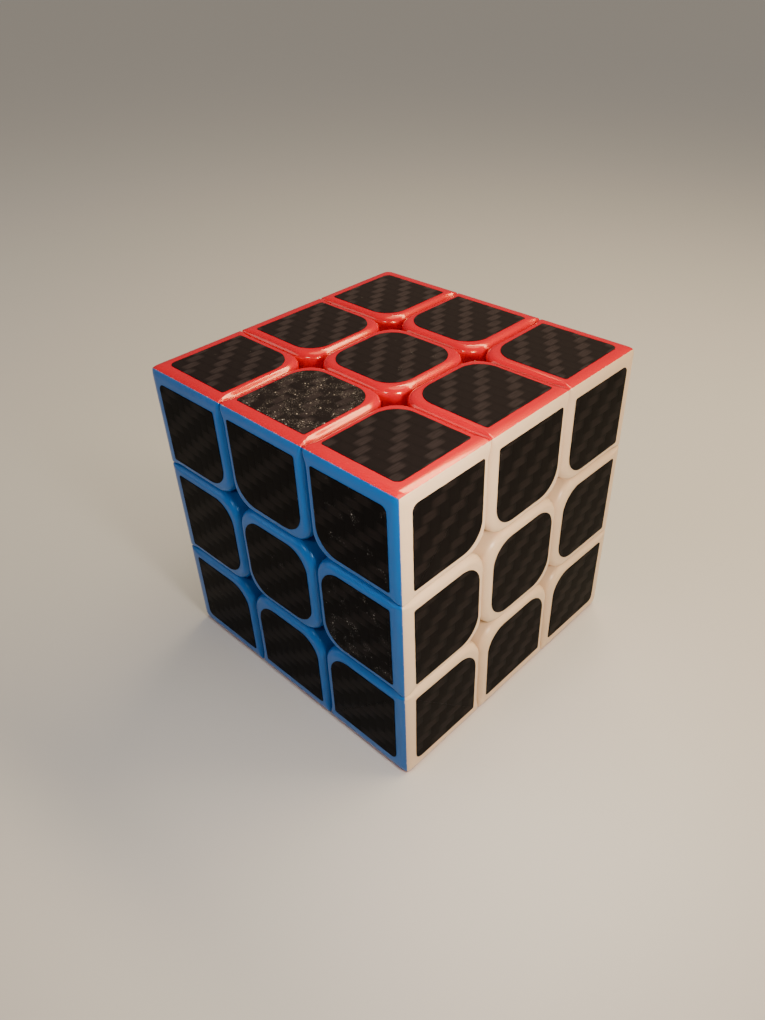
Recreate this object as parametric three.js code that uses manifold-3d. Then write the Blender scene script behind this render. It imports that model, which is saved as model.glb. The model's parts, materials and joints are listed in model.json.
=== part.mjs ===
// A 3x3x3 twisty puzzle cube: a six-armed core, six spring-loaded centres, twelve edges and
// eight corners. Millimetres, +Z up, origin in the middle of the face that the cube rests on.
// Front is -Y, right is +X.

import * as THREE from 'three';
import { mergeVertices } from 'three/addons/utils/BufferGeometryUtils.js';
import Module from 'manifold-3d';

const wasm = await Module();
wasm.setup();

// Driving dimensions, measured from the middle of the cube where they are heights or radii.
const CUBE = 56; // edge length of the whole cube
const HALF = CUBE / 2;
const SEAM = CUBE / 6; // seam planes between the layers lie at +-SEAM
const GAP = 0.3; // free space between neighbouring pieces
const FOOT_SEAM = 5.5; // seam planes between the feet, inside the foot shell
const SHELL_OUT = 20; // the feet slide between two spheres of these radii
const SHELL_IN = 13;
const PLAN_RADIUS = 4.5; // rounding of a piece where four pieces meet on a face
const SHOULDER = 1.0; // bevel along the seams
const EDGE_BEVEL = 0.8; // bevel along the twelve outer edges of the cube
const OVERHANG = 5; // how far a prism runs past the cube before it is trimmed

const HUB_RADIUS = 8;
const HUB_SIDES = 16;
const ARM_RADIUS = 4.5;
const ARM_END = 12; // its rim stays inside the foot shell
const SCREW_HOLE_RADIUS = 1.7;
const SCREW_HOLE_BOTTOM = 4.7;

const BASE_TOP = 24.7; // the centre base ends here and the centre cap lies on it
const CAP_BOTTOM = BASE_TOP + GAP;
const BORE_RADIUS = 2.75; // well for the spring, the washer and the screw head
const BORE_FLOOR = 15.5;
const SHANK_HOLE_RADIUS = 1.9;
const PLUG_RADIUS = 2.45; // round plug under the centre cap, pressed into the bore
const PLUG_BOTTOM = 23.5;

const SHANK_RADIUS = 1.4;
const SHANK_BOTTOM = 5.2;
const HEAD_RADIUS = 2.4;
const HEAD_BOTTOM = 21.3;
const HEAD_TOP = 23.1;
const HEAD_CROWN = 0.4; // height of the sloping rim of the pan head
const DRIVE_WIDTH = 0.7; // cross recess
const DRIVE_LENGTH = 3.2;
const DRIVE_DEPTH = 1.1;

const WASHER_INNER = 1.75;
const WASHER_OUTER = 2.45;
const WASHER_BOTTOM = 20.5;
const WASHER_TOP = HEAD_BOTTOM - GAP;

const WIRE_RADIUS = 0.3;
const COIL_RADIUS = 2.05;
const COIL_TURNS = 4;
const COIL_BOTTOM = BORE_FLOOR + GAP + WIRE_RADIUS;
const COIL_TOP = WASHER_BOTTOM - GAP - WIRE_RADIUS;
const WIRE_SIDES = 5;
const STEPS_PER_TURN = 9;

const STALK_RADIUS = 1.8; // round stalk that joins a corner's foot to its cap
const STALK_TOP = 29;
const NECK_TOP = 17; // the neck of an edge reaches from its foot into its cap

const ROUND_SIDES = 16;
const SPHERE_SIDES = 24;
const SPHERE_STEP = (2 * Math.PI) / SPHERE_SIDES;
// A faceted sphere dips inside its radius by this factor at most.
const FACET_DIP = Math.cos(SPHERE_STEP / 2) ** 2;

const DIAGONAL = new THREE.Vector3(1, 1, 1).normalize();
const X = new THREE.Vector3(1, 0, 0);
const Y = new THREE.Vector3(0, 1, 0);
const Z = new THREE.Vector3(0, 0, 1);

// A three.js geometry as a solid that can be joined and cut.
function solid(geometry) {
  const bare = geometry.clone();
  bare.deleteAttribute('normal');
  bare.deleteAttribute('uv');
  const merged = mergeVertices(bare, 1e-4);
  return new wasm.Manifold(new wasm.Mesh({
    numProp: 3,
    vertProperties: merged.attributes.position.array,
    triVerts: Uint32Array.from(merged.index.array),
  }));
}

// A finished solid as a three.js geometry.
function geometryOf(body) {
  const mesh = body.getMesh();
  const geometry = new THREE.BufferGeometry();
  geometry.setAttribute('position', new THREE.BufferAttribute(mesh.vertProperties, 3));
  geometry.setIndex(new THREE.BufferAttribute(mesh.triVerts, 1));
  geometry.computeVertexNormals();
  return geometry;
}

function box(low, high) {
  const size = new THREE.Vector3().subVectors(high, low);
  const middle = new THREE.Vector3().addVectors(low, high).multiplyScalar(0.5);
  return solid(new THREE.BoxGeometry(size.x, size.y, size.z).translate(middle.x, middle.y, middle.z));
}

// A round bar along +Z, from bottom to top.
function barGeometry(radius, bottom, top) {
  return new THREE.CylinderGeometry(radius, radius, top - bottom, ROUND_SIDES)
    .rotateX(Math.PI / 2)
    .translate(0, 0, (bottom + top) / 2);
}

function bar(radius, bottom, top) {
  return solid(barGeometry(radius, bottom, top));
}

// The same bar, turned to lie along a direction.
function barAlong(direction, radius, bottom, top) {
  const turn = new THREE.Quaternion().setFromUnitVectors(Z, direction);
  return solid(barGeometry(radius, bottom, top).applyQuaternion(turn));
}

// A sphere that never reaches past its radius.
function ball(radius, sides = SPHERE_SIDES) {
  return solid(new THREE.SphereGeometry(radius, sides, sides / 2));
}

// A sphere that never dips inside its radius, for hollow faces.
function hollowBall(radius) {
  return ball(radius / FACET_DIP);
}

const OUTER_CUT = hollowBall(SHELL_OUT + GAP / 2);
const INNER_CUT = hollowBall(SHELL_IN + GAP / 2);
const FOOT_BALL = ball(SHELL_OUT - GAP / 2);

// The stretch of one row of the face: row 0 is the middle row, row 1 the outer row.
function rowSpan(row) {
  if (row === 0) {
    return [-(SEAM - GAP / 2), SEAM - GAP / 2];
  }
  return [SEAM + GAP / 2, HALF + OVERHANG];
}

// One cell of the top face as a prism along Z, from the middle of the cube up to the face.
// It is bevelled along its seams, and rounded in plan where four pieces meet.
function facePrism(rowX, rowY) {
  const [x0, x1] = rowSpan(rowX);
  const [y0, y1] = rowSpan(rowY);
  const r = PLAN_RADIUS;
  const outline = new THREE.Shape();
  outline.absarc(x0 + r, y0 + r, r, Math.PI, 1.5 * Math.PI);
  if (rowX === 0) {
    outline.absarc(x1 - r, y0 + r, r, 1.5 * Math.PI, 2 * Math.PI);
  } else {
    outline.lineTo(x1, y0);
  }
  if (rowX === 0 && rowY === 0) {
    outline.absarc(x1 - r, y1 - r, r, 0, 0.5 * Math.PI);
  } else {
    outline.lineTo(x1, y1);
  }
  if (rowY === 0) {
    outline.absarc(x0 + r, y1 - r, r, 0.5 * Math.PI, Math.PI);
  } else {
    outline.lineTo(x0, y1);
  }
  return new THREE.ExtrudeGeometry(outline, {
    depth: HALF - 2 * SHOULDER,
    curveSegments: 2,
    bevelEnabled: true,
    bevelSegments: 1,
    bevelThickness: SHOULDER,
    bevelSize: SHOULDER,
    bevelOffset: -SHOULDER,
  }).translate(0, 0, SHOULDER);
}

// The wedge outside the bevel of the outer edge between the +X and +Z faces.
function edgeWedge() {
  const reach = (CUBE - EDGE_BEVEL) / Math.SQRT2;
  const thick = 2 * OVERHANG;
  return new THREE.BoxGeometry(2 * CUBE, 2 * CUBE, thick)
    .translate(0, 0, reach + thick / 2)
    .rotateY(Math.PI / 4);
}

// Turns +X to +Y, +Y to +Z and +Z to +X.
const CYCLE = new THREE.Matrix4().makeBasis(Y, Z, X);
// Swaps +X and +Z.
const SWAP = new THREE.Matrix4().makeBasis(Z, Y.clone().negate(), X);

// The cap of the corner in the +X +Y +Z octant, hollowed for the foot shell.
function cornerCap() {
  const prism = facePrism(1, 1);
  const wedge = edgeWedge();
  let cap = solid(prism).subtract(solid(wedge));
  for (let face = 1; face < 3; face += 1) {
    prism.applyMatrix4(CYCLE);
    wedge.applyMatrix4(CYCLE);
    cap = cap.intersect(solid(prism)).subtract(solid(wedge));
  }
  const stalkHole = barAlong(DIAGONAL, STALK_RADIUS + GAP, SHELL_IN, STALK_TOP + GAP);
  return cap.subtract(OUTER_CUT).subtract(stalkHole);
}

// The foot of the same corner: it reaches under the three edges beside it.
function cornerFoot() {
  const start = FOOT_SEAM + GAP / 2;
  const block = box(
    new THREE.Vector3(start, start, start),
    new THREE.Vector3(SHELL_OUT, SHELL_OUT, SHELL_OUT),
  );
  const stalk = barAlong(DIAGONAL, STALK_RADIUS, (SHELL_IN + SHELL_OUT) / 2, STALK_TOP);
  return block.intersect(FOOT_BALL).subtract(INNER_CUT).add(stalk);
}

// The edge between the +X and +Z faces: its cap, its neck and the foot that reaches under the
// two centres beside it.
function edgePiece() {
  const prism = facePrism(1, 0);
  const sidePrism = prism.clone().applyMatrix4(SWAP);
  const cap = solid(prism).intersect(solid(sidePrism)).subtract(solid(edgeWedge()));
  const start = FOOT_SEAM + GAP / 2;
  const halfFoot = FOOT_SEAM - GAP / 2;
  const neckStart = SEAM + GAP / 2;
  const foot = box(
    new THREE.Vector3(start, -halfFoot, start),
    new THREE.Vector3(SHELL_OUT, halfFoot, SHELL_OUT),
  ).intersect(FOOT_BALL);
  const neck = box(
    new THREE.Vector3(neckStart, -halfFoot, neckStart),
    new THREE.Vector3(NECK_TOP, halfFoot, NECK_TOP),
  );
  return cap.subtract(OUTER_CUT).add(neck).add(foot).subtract(INNER_CUT);
}

// The base of the +Z centre: a plate over the feet of the edges, a square stem between them,
// and a stepped bore for the screw and its spring.
function centreBase() {
  const halfStem = FOOT_SEAM - GAP / 2;
  const plate = solid(facePrism(0, 0))
    .intersect(box(new THREE.Vector3(-SEAM, -SEAM, 0), new THREE.Vector3(SEAM, SEAM, BASE_TOP)))
    .subtract(OUTER_CUT);
  const stem = box(
    new THREE.Vector3(-halfStem, -halfStem, SHELL_IN / 2),
    new THREE.Vector3(halfStem, halfStem, BASE_TOP - SHOULDER),
  );
  return plate.add(stem)
    .subtract(INNER_CUT)
    .subtract(bar(BORE_RADIUS, BORE_FLOOR, HALF))
    .subtract(bar(SHANK_HOLE_RADIUS, 0, HALF));
}

// The cap of the +Z centre, with the plug that holds it in the bore.
function centreCap() {
  const plate = solid(facePrism(0, 0))
    .intersect(box(new THREE.Vector3(-SEAM, -SEAM, CAP_BOTTOM), new THREE.Vector3(SEAM, SEAM, HALF)));
  return plate.add(bar(PLUG_RADIUS, PLUG_BOTTOM, CAP_BOTTOM + SHOULDER));
}

// The core: a hub with six arms, each drilled for its screw.
function core() {
  let body = ball(HUB_RADIUS, HUB_SIDES);
  for (const axis of [X, Y, Z]) {
    body = body.add(barAlong(axis, ARM_RADIUS, -ARM_END, ARM_END));
  }
  for (const end of [X, Y, Z].flatMap((axis) => [axis, axis.clone().negate()])) {
    body = body.subtract(barAlong(end, SCREW_HOLE_RADIUS, SCREW_HOLE_BOTTOM, SHELL_IN));
  }
  return body;
}

// A pan-head screw along +Z, with a cross recess.
function screw() {
  const profile = [
    [0, SHANK_BOTTOM],
    [SHANK_RADIUS, SHANK_BOTTOM],
    [SHANK_RADIUS, HEAD_BOTTOM],
    [HEAD_RADIUS, HEAD_BOTTOM],
    [HEAD_RADIUS, HEAD_TOP - HEAD_CROWN],
    [HEAD_RADIUS - HEAD_CROWN, HEAD_TOP],
    [0, HEAD_TOP],
  ].map(([radius, height]) => new THREE.Vector2(radius, height));
  const body = solid(new THREE.LatheGeometry(profile, ROUND_SIDES).rotateX(Math.PI / 2));
  const slot = new THREE.BoxGeometry(DRIVE_LENGTH, DRIVE_WIDTH, 2 * DRIVE_DEPTH)
    .translate(0, 0, HEAD_TOP);
  const crossSlot = slot.clone().rotateZ(Math.PI / 2);
  return body.subtract(solid(slot)).subtract(solid(crossSlot));
}

function washer() {
  const hole = bar(WASHER_INNER, 0, HALF);
  return bar(WASHER_OUTER, WASHER_BOTTOM, WASHER_TOP).subtract(hole);
}

// The line that the spring's wire follows.
class Coil extends THREE.Curve {
  getPoint(t, target = new THREE.Vector3()) {
    const angle = 2 * Math.PI * COIL_TURNS * t;
    const height = COIL_BOTTOM + (COIL_TOP - COIL_BOTTOM) * t;
    return target.set(COIL_RADIUS * Math.cos(angle), COIL_RADIUS * Math.sin(angle), height);
  }
}

function spring() {
  const section = new THREE.Shape();
  for (let side = 0; side < WIRE_SIDES; side += 1) {
    const angle = (2 * Math.PI * side) / WIRE_SIDES;
    const x = WIRE_RADIUS * Math.cos(angle);
    const y = WIRE_RADIUS * Math.sin(angle);
    if (side === 0) {
      section.moveTo(x, y);
    } else {
      section.lineTo(x, y);
    }
  }
  return solid(new THREE.ExtrudeGeometry(section, {
    steps: COIL_TURNS * STEPS_PER_TURN,
    bevelEnabled: false,
    extrudePath: new Coil(),
  }));
}

const COLOURS = {
  top: 0xf0303c,
  bottom: 0xf27a1a,
  front: 0x14559e,
  back: 0x1b9a4b,
  right: 0xeee6da,
  left: 0xf2d21f,
  inner: 0x26262a,
  core: 0xd8d4c8,
  steel: 0xb4b6ba,
};

function plastic(colour) {
  return new THREE.MeshStandardMaterial({ color: colour, roughness: 0.35, metalness: 0 });
}

function steel() {
  return new THREE.MeshStandardMaterial({ color: COLOURS.steel, roughness: 0.3, metalness: 1 });
}

// The faces that a direction points to, such as ["top", "front", "left"].
function facesOf(direction) {
  const names = [];
  if (Math.abs(direction.z) > 0.5) {
    names.push(direction.z > 0 ? 'top' : 'bottom');
  }
  if (Math.abs(direction.y) > 0.5) {
    names.push(direction.y > 0 ? 'back' : 'front');
  }
  if (Math.abs(direction.x) > 0.5) {
    names.push(direction.x > 0 ? 'right' : 'left');
  }
  return names;
}

const cube = new THREE.Group();
const middle = new THREE.Group();
middle.position.set(0, 0, HALF);
cube.add(middle);

function place(name, geometry, material, turn) {
  const mesh = new THREE.Mesh(geometry, material);
  mesh.name = name;
  mesh.quaternion.copy(turn);
  middle.add(mesh);
}

// The turns that carry a piece to every place of its kind: a first tilt about X, then four
// quarter turns about Z.
function turnsOf(tilts) {
  const turns = [];
  for (const tilt of tilts) {
    for (let quarter = 0; quarter < 4; quarter += 1) {
      const yaw = new THREE.Quaternion().setFromAxisAngle(Z, (quarter * Math.PI) / 2);
      turns.push(yaw.multiply(new THREE.Quaternion().setFromAxisAngle(X, tilt)));
    }
  }
  return turns;
}

place('core', geometryOf(core()), plastic(COLOURS.core), new THREE.Quaternion());

const centreParts = {
  base: geometryOf(centreBase()),
  cap: geometryOf(centreCap()),
  screw: geometryOf(screw()),
  washer: geometryOf(washer()),
  spring: geometryOf(spring()),
};
const centreTurns = [
  new THREE.Quaternion(),
  new THREE.Quaternion().setFromAxisAngle(X, Math.PI),
  ...turnsOf([Math.PI / 2]),
];
for (const turn of centreTurns) {
  const [face] = facesOf(Z.clone().applyQuaternion(turn));
  place(`centre_${face}_base`, centreParts.base, plastic(COLOURS[face]), turn);
  place(`centre_${face}_cap`, centreParts.cap, plastic(COLOURS[face]), turn);
  place(`screw_${face}`, centreParts.screw, steel(), turn);
  place(`washer_${face}`, centreParts.washer, steel(), turn);
  place(`spring_${face}`, centreParts.spring, steel(), turn);
}

const edgeGeometry = geometryOf(edgePiece());
for (const turn of turnsOf([0, Math.PI / 2, Math.PI])) {
  const faces = facesOf(new THREE.Vector3(1, 0, 1).applyQuaternion(turn));
  place(`edge_${faces.join('_')}`, edgeGeometry, plastic(COLOURS[faces[0]]), turn);
}

const cornerParts = {
  cap: geometryOf(cornerCap()),
  foot: geometryOf(cornerFoot()),
};
for (const turn of turnsOf([0, Math.PI])) {
  const faces = facesOf(new THREE.Vector3(1, 1, 1).applyQuaternion(turn));
  const name = `corner_${faces.join('_')}`;
  place(`${name}_cap`, cornerParts.cap, plastic(COLOURS[faces[0]]), turn);
  place(`${name}_foot`, cornerParts.foot, plastic(COLOURS.inner), turn);
}

export default cube;
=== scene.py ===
import json
import math
import random

import bmesh
import bpy
from mathutils import Matrix, Vector


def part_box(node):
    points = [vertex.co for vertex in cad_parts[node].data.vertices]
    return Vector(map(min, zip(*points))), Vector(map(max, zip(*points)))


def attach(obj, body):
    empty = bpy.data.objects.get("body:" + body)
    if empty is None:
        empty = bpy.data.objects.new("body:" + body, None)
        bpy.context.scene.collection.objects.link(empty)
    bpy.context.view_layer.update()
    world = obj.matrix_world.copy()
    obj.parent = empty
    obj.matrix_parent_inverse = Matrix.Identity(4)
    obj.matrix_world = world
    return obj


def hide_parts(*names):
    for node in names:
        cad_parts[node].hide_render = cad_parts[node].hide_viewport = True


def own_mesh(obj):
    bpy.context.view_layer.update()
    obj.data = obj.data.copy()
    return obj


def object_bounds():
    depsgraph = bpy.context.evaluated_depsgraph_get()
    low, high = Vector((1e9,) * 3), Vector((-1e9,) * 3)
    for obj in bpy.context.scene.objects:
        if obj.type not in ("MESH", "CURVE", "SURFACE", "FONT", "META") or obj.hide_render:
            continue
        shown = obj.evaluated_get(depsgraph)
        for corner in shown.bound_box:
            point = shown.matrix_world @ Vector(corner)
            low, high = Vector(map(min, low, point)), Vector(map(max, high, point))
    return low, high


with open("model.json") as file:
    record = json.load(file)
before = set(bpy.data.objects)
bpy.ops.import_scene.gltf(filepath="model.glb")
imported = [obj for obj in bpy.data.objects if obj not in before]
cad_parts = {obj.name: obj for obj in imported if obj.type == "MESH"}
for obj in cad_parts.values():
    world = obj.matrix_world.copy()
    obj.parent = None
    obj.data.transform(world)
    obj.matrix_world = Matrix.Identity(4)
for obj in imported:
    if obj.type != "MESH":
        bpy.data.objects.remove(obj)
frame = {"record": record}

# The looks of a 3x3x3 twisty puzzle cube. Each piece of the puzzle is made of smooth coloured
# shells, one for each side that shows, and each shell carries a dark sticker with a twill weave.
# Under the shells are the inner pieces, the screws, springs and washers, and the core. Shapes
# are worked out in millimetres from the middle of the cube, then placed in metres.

cad_low, cad_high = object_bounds()

MM = 0.001
MIDDLE = (cad_low + cad_high) / 2
HALF = (cad_high.x - cad_low.x) / 2 / MM
SEAM = HALF / 3

STICKER_THICKNESS = 0.12
FACE = HALF - STICKER_THICKNESS  # height of the plastic face over the middle of the cube
SEAM_GAP = 0.08  # half the free space between two pieces
PLAN_RADIUS = 4.4  # rounding where four pieces meet on a face

SHOULDER = 1.25  # radius of the rounding along a seam
SHOULDER_END = 0.35  # the same where the seam reaches an outer edge of the cube
SHOULDER_TAPER = 3.2  # length over which it narrows

CREST_RADIUS = 0.4  # tight rounding of the cube's outer edges
CREST_TILT = math.radians(20)  # slope of the face where that rounding starts
CROWN_WIDTH = 1.1  # the face curves down over this width before it

# How deep the shells reach under the plastic face. A centre's goes down to the end of its plug.
SHELL_DEPTHS = {
    "centre": FACE - (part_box("centre_top_cap")[0].z - MIDDLE.z) / MM,
    "edge": 10.4,
    "corner": 12.4,
}
RINGS = 9  # steps round a shoulder
ARC_STEPS = 12  # steps round a corner where four pieces meet
FAN_STEPS = 5  # steps along each side next to an outer edge
SPOKE_SPACING = 1.1
HALVINGS = 36  # of an interval, to find a crossing in it

# Each face of the cube: outward normal and the two directions along it.
AXES = {
    "top": (Vector((0, 0, 1)), Vector((1, 0, 0)), Vector((0, 1, 0))),
    "bottom": (Vector((0, 0, -1)), Vector((1, 0, 0)), Vector((0, -1, 0))),
    "front": (Vector((0, -1, 0)), Vector((1, 0, 0)), Vector((0, 0, 1))),
    "back": (Vector((0, 1, 0)), Vector((-1, 0, 0)), Vector((0, 0, 1))),
    "right": (Vector((1, 0, 0)), Vector((0, 1, 0)), Vector((0, 0, 1))),
    "left": (Vector((-1, 0, 0)), Vector((0, -1, 0)), Vector((0, 0, 1))),
}
BODY_OF = {
    node: body
    for body, nodes in frame["record"]["behaviour"]["bodies"].items()
    for node in nodes
}


# --- Shape of one shell ---------------------------------------------------------------------

# The outer edge's section: the face curves down as a parabola, then turns over the crest on a
# small arc, symmetric about the plane at 45 degrees that parts two colours.
ARC_RUN = CREST_RADIUS * (math.sin(math.pi / 4) - math.sin(CREST_TILT))
ARC_DROP = CREST_RADIUS * (math.cos(CREST_TILT) - math.cos(math.pi / 4))
CROWN_DROP = math.tan(CREST_TILT) * CROWN_WIDTH / 2
CREST = CROWN_DROP + ARC_DROP  # how far the crest stands back from both faces
CROWN_START = CREST + ARC_RUN + CROWN_WIDTH
ARC_CENTRE = CREST + CREST_RADIUS * math.sin(math.pi / 4)


def edge_drop(distance):
    """How far the face has dropped at this distance from an outer edge plane."""
    if distance >= CROWN_START:
        return 0.0
    if distance >= CREST + ARC_RUN:
        return CROWN_DROP * ((CROWN_START - distance) / CROWN_WIDTH) ** 2
    across = min(ARC_CENTRE - distance, CREST_RADIUS)
    return ARC_CENTRE - math.sqrt(CREST_RADIUS**2 - across**2)


def shoulder_radius(reach):
    """The seam rounding at this distance from the nearest outer edge plane."""
    t = min(reach / SHOULDER_TAPER, 1.0)
    return SHOULDER_END + (SHOULDER - SHOULDER_END) * t * t * (3 - 2 * t)


class Side:
    """One straight side of a cell: outward direction, place, and whether it is an outer edge."""

    def __init__(self, axis, sign, step):
        self.axis = axis
        self.sign = sign
        self.outer = step == sign
        if self.outer:
            self.at = FACE
        else:
            self.at = sign * (2 * SEAM * step) + SEAM - SEAM_GAP

    def distance(self, point):
        return self.at - self.sign * point[self.axis]

    def outward(self):
        return Vector((self.sign, 0)) if self.axis == 0 else Vector((0, self.sign))


class Cell:
    """One of a face's nine cells, in the face's own plane."""

    def __init__(self, i, j, depth):
        self.depth = depth
        # Counter-clockwise from the low v side. Corner k lies between sides k - 1 and k.
        self.sides = [Side(1, -1, j), Side(0, 1, i), Side(1, 1, j), Side(0, -1, i)]
        self.outer_sides = [s for s in self.sides if s.outer]

    def reach(self, point):
        return min((s.distance(point) for s in self.outer_sides), default=HALF)

    def corner(self, k):
        point = Vector((0, 0))
        for side in (self.sides[k - 1], self.sides[k]):
            point[side.axis] = side.sign * side.at
        return point

    def drop(self, point):
        """How far the surface lies under the face plane."""
        total = sum(edge_drop(s.distance(point)) for s in self.outer_sides)
        across = [HALF, HALF]
        for side in self.sides:
            if not side.outer:
                across[side.axis] = min(across[side.axis], side.distance(point))
        if max(across) < PLAN_RADIUS:
            corner = Vector((PLAN_RADIUS - across[0], PLAN_RADIUS - across[1]))
            inside = PLAN_RADIUS - corner.length
        else:
            inside = min(across)
        radius = shoulder_radius(self.reach(point))
        if inside < radius:
            share = 1 - max(inside, 0.0) / radius
            total += radius * (1 - math.sqrt(max(0.0, 1 - share * share)))
        return total

    def crossing(self, point_at):
        """The distance from the outer planes at which the surface has dropped by as much."""
        low, high = CREST / 2, 2 * CROWN_START
        for _ in range(HALVINGS):
            middle = (low + high) / 2
            if self.drop(point_at(middle)) > middle:
                low = middle
            else:
                high = middle
        return (low + high) / 2

    def mitre_distance(self, side, start):
        """Distance from an outer side where the surface meets the plane between two colours."""

        def point_at(distance):
            return start + side.outward() * (side.distance(start) - distance)

        return self.crossing(point_at)

    def mitre_point(self, side, along):
        return along + side.outward() * (side.distance(along) - self.mitre_distance(side, along))


SEAM_STEPS = [math.sin(math.pi / 2 * k / RINGS) for k in range(RINGS + 1)]


def crown_steps():
    """Shares of the way over an outer edge, at even changes of slope."""
    steps = []
    for k in range(RINGS + 1):
        slope = math.pi / 4 * k / RINGS
        if slope <= CREST_TILT:
            distance = CROWN_START - math.tan(slope) / math.tan(CREST_TILT) * CROWN_WIDTH
        else:
            distance = ARC_CENTRE - CREST_RADIUS * math.sin(slope)
        steps.append((CROWN_START - distance) / (CROWN_START - CREST))
    return steps


CROWN_STEPS = crown_steps()


def mixed_steps(share):
    return [a + (b - a) * share for a, b in zip(SEAM_STEPS, CROWN_STEPS)]


def corner_spokes(cell, k):
    """Lines from the flat of the face to its rim, round one corner of a cell."""
    before, after = cell.sides[k - 1], cell.sides[k]
    corner = cell.corner(k)
    spokes = []
    if not before.outer and not after.outer:
        centre = corner - (before.outward() + after.outward()) * PLAN_RADIUS
        for step in range(ARC_STEPS + 1):
            angle = math.pi / 2 * step / ARC_STEPS
            ray = before.outward() * math.cos(angle) + after.outward() * math.sin(angle)
            start = centre + ray * (PLAN_RADIUS - SHOULDER)
            spokes.append((start, centre + ray * PLAN_RADIUS, SEAM_STEPS))
        return spokes
    rim_radius = shoulder_radius(CROWN_START)
    insets = [CROWN_START if s.outer else rim_radius for s in (before, after)]
    start = corner - before.outward() * insets[0] - after.outward() * insets[1]
    # Points along the side that comes in, then along the side that goes out.
    for side, other, inset, way in (
        (before, after, insets[1], 1),
        (after, before, insets[0], -1),
    ):
        end = inset
        if not side.outer:
            end = inset - cell.mitre_distance(other, corner)
        for step in range(FAN_STEPS + 1):
            share = step / FAN_STEPS if way == 1 else 1 - step / FAN_STEPS
            along = corner - other.outward() * (inset - end * share)
            rim = along
            if side.outer:
                rim = limit_to_mitre(cell, cell.mitre_point(side, along), other)
            mix = 1.0 if side.outer and other.outer else 0.5
            spokes.append((start, rim, mixed_steps(mix)))
    return spokes


def limit_to_mitre(cell, point, other):
    """Keeps a rim point between two outer sides on the near side of both parting planes."""
    if not other.outer:
        return point
    distance = other.distance(point)
    nearest = min(s.distance(point) for s in cell.outer_sides)
    if distance > nearest + 1e-6:
        return point
    return triple_point(cell)


def triple_point(cell):
    """Where the three colours of a corner piece meet."""

    def point_at(distance):
        point = Vector((0, 0))
        for side in cell.outer_sides:
            point[side.axis] = side.sign * (side.at - distance)
        return point

    return point_at(cell.crossing(point_at))


def side_spokes(cell, k):
    """Spokes along side k, between its two corners."""
    side = cell.sides[k]
    ends = []
    for corner, neighbour in ((k, cell.sides[k - 1]), ((k + 1) % 4, cell.sides[(k + 1) % 4])):
        if neighbour.outer:
            inset = CROWN_START
        elif side.outer:
            inset = shoulder_radius(CROWN_START)
        else:
            inset = PLAN_RADIUS
        ends.append(cell.corner(corner) - neighbour.outward() * inset)
    count = max(2, round((ends[1] - ends[0]).length / SPOKE_SPACING))
    spokes = []
    for step in range(1, count):
        rim = ends[0].lerp(ends[1], step / count)
        if side.outer:
            start = rim - side.outward() * CROWN_START
            spokes.append((start, cell.mitre_point(side, rim), CROWN_STEPS))
        else:
            start = rim - side.outward() * shoulder_radius(cell.reach(rim))
            spokes.append((start, rim, SEAM_STEPS))
    return spokes


SUPPORT_INSET = 0.35  # a ring inside the rim that keeps the flat of a face flat
SHARP_ANGLE = math.radians(35)  # edges that turn more than this are shaded as sharp ones


def shell_loops(cell):
    """Rings of points (u, v, height) from the flat top over the rim to the bottom."""
    spokes = []
    for k in range(4):
        spokes += corner_spokes(cell, k)
        spokes += side_spokes(cell, k)
    middle = sum((s[0] for s in spokes), Vector((0, 0))) / len(spokes)
    loops = [[] for _ in range(RINGS + 4)]
    for start, rim, steps in spokes:
        inner = start + (middle - start).normalized() * SUPPORT_INSET
        loops[0].append(Vector((inner.x, inner.y, FACE)))
        for ring, share in enumerate(steps):
            point = start.lerp(rim, share)
            loops[ring + 1].append(Vector((point.x, point.y, FACE - cell.drop(point))))
        end = loops[RINGS + 1][-1]
        wall = min([cell.depth] + [s.distance(rim) for s in cell.outer_sides])
        loops[RINGS + 2].append(Vector((rim.x, rim.y, min(end.z, FACE - wall))))
        foot = rim.copy()
        for side in cell.outer_sides:
            if side.distance(foot) < cell.depth:
                foot[side.axis] = side.sign * (side.at - cell.depth)
        loops[RINGS + 3].append(Vector((foot.x, foot.y, FACE - cell.depth)))
    return loops


def on_face(face, point):
    """Places a point (u, v, height over the middle), in millimetres on a face of the cube."""
    normal, along_u, along_v = AXES[face]
    return MIDDLE + (along_u * point[0] + along_v * point[1] + normal * point[2]) * MM


def mesh_from_loops(name, loops, place):
    """A closed mesh from rings of equal length, with a flat cap on the first and the last."""
    bm = bmesh.new()
    rings = [[bm.verts.new(place(p)) for p in loop] for loop in loops]
    count = len(rings[0])
    for upper, lower in zip(rings, rings[1:]):
        for k in range(count):
            after = (k + 1) % count
            bm.faces.new((upper[k], lower[k], lower[after], upper[after]))
    bm.faces.new(rings[0])
    bm.faces.new(reversed(rings[-1]))
    bmesh.ops.remove_doubles(bm, verts=bm.verts, dist=1e-7)
    bmesh.ops.dissolve_degenerate(bm, edges=bm.edges, dist=1e-8)
    bmesh.ops.recalc_face_normals(bm, faces=bm.faces)
    return finished_mesh(name, bm)


def finished_mesh(name, bm):
    mesh = bpy.data.meshes.new(name)
    bm.to_mesh(mesh)
    bm.free()
    mesh.shade_smooth()
    mesh.set_sharp_from_angle(angle=SHARP_ANGLE)
    return mesh


def store(mesh, name, value_at):
    """Stores a value at each point of a mesh, worked out from its place in millimetres."""
    layer = mesh.attributes.new(name, "FLOAT", "POINT")
    for vertex, entry in zip(mesh.vertices, layer.data):
        entry.value = value_at((vertex.co - MIDDLE) / MM)


def add_object(name, data):
    made = bpy.data.objects.new(name, data)
    bpy.context.scene.collection.objects.link(made)
    return made


def add_piece(name, mesh, material, body):
    """Adds a piece that shows, with its material and slot, on the body that it moves with."""
    piece = add_object(name, mesh)
    mesh.materials.append(material)
    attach(piece, body)
    return piece


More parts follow.
